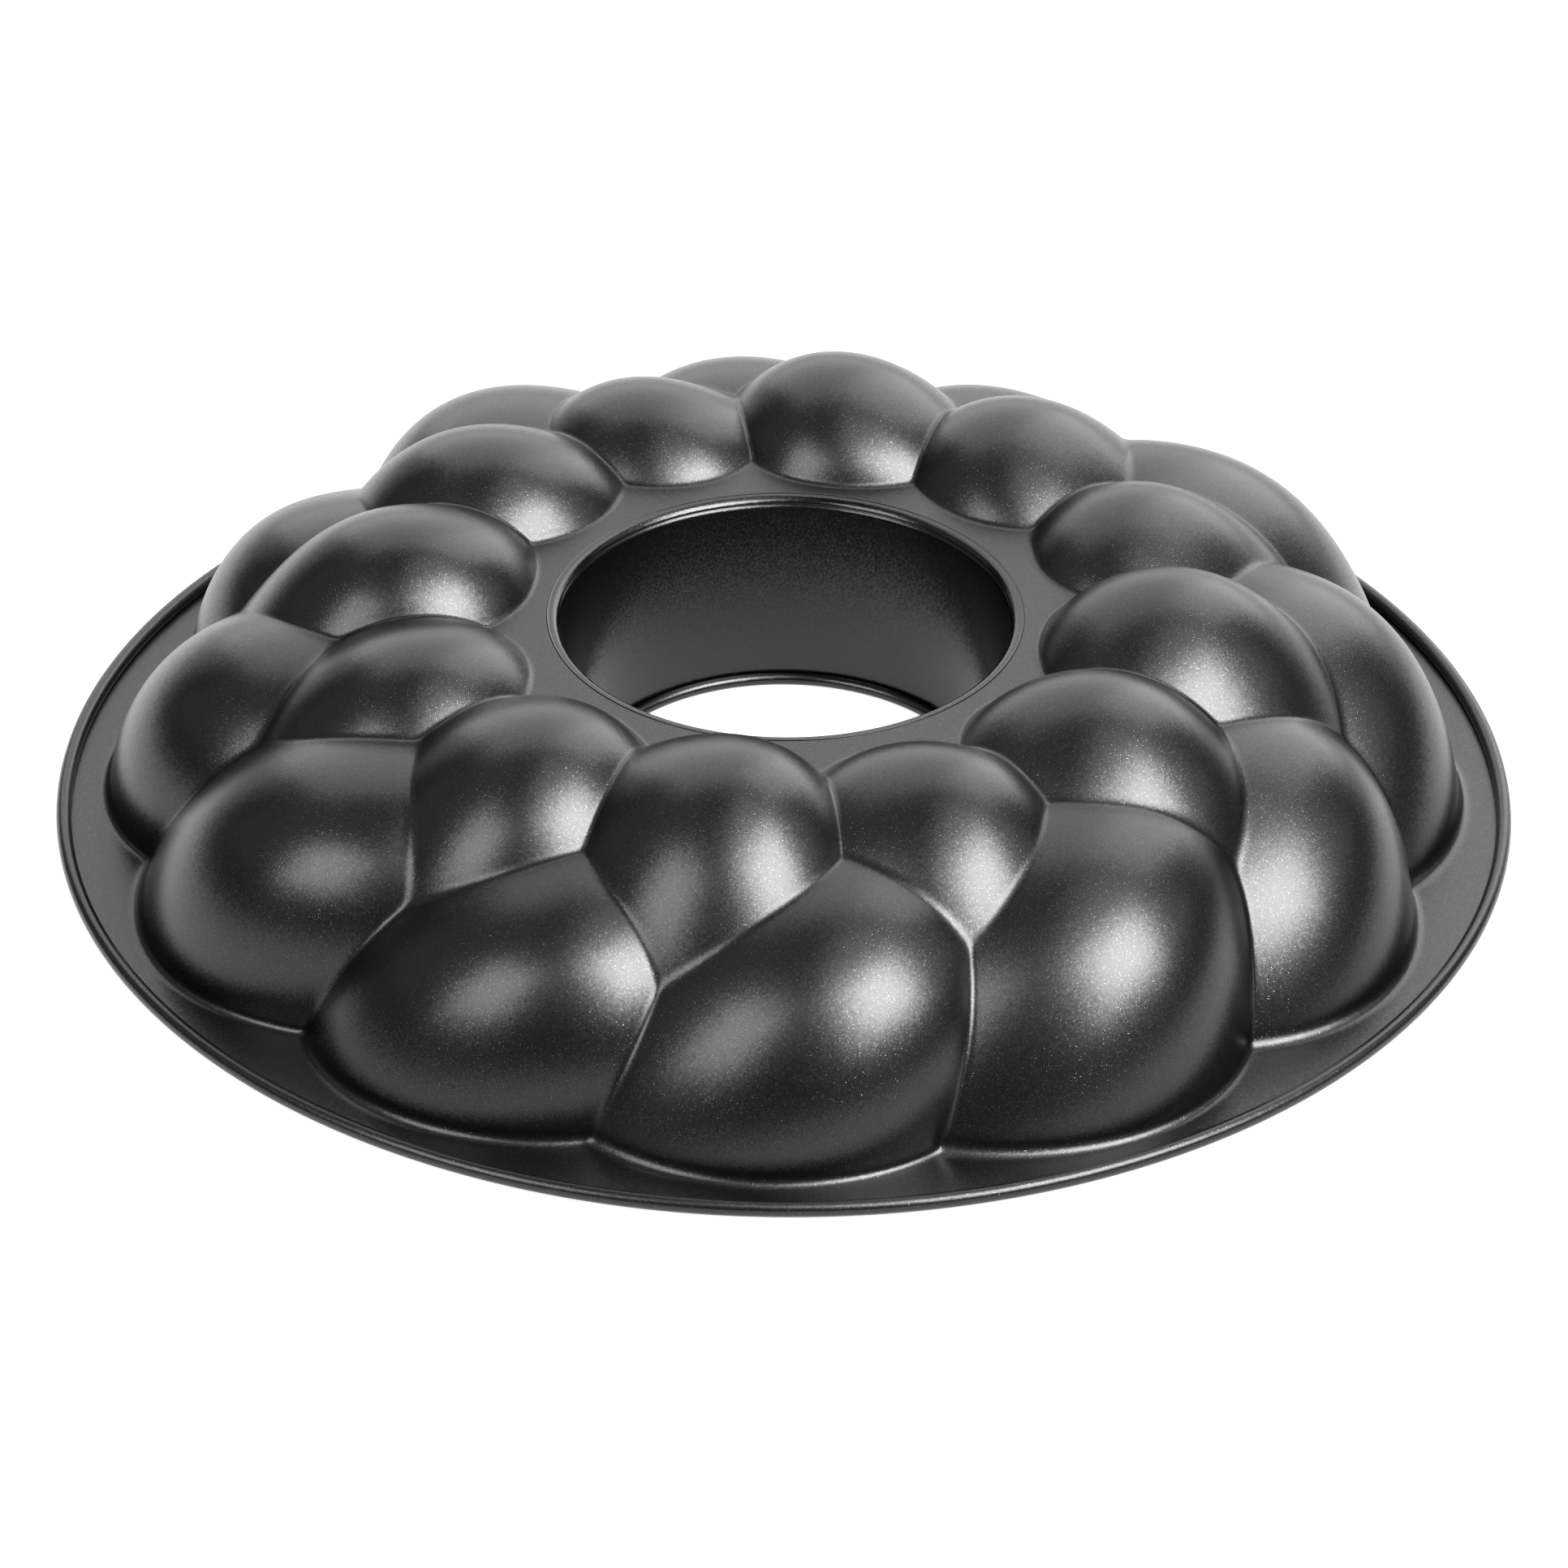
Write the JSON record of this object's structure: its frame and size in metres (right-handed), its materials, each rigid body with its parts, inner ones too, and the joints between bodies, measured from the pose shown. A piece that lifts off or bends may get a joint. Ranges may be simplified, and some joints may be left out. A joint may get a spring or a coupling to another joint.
{
  "type": "ring cake pan",
  "caption": "Ring cake pan with a braided-wreath form, an open centre tube, a flat flange and a rolled rim, shown upside down on its rim.",
  "frame": {"origin": "on the pan's axis, in the plane that the rim and flange rest on", "axes": "+Z along the pan's axis, from the mouth towards the braided top, so the pan stands upside down as pictured; -Y towards the viewer of the picture"},
  "size_m": [0.32, 0.32, 0.0596],
  "materials": {
    "coated_steel": "satin dark grey non-stick coating with fine metallic flecks",
    "coated_tube": "satin dark grey non-stick coating with fine metallic flecks",
    "steel_wire": "bare drawn wire, hidden inside the rolled rim"
  },
  "bodies": {
    "root": {"pan_body": "coated_steel", "centre_tube": "coated_tube", "rim_wire": "steel_wire"}
  },
  "joints": []
}
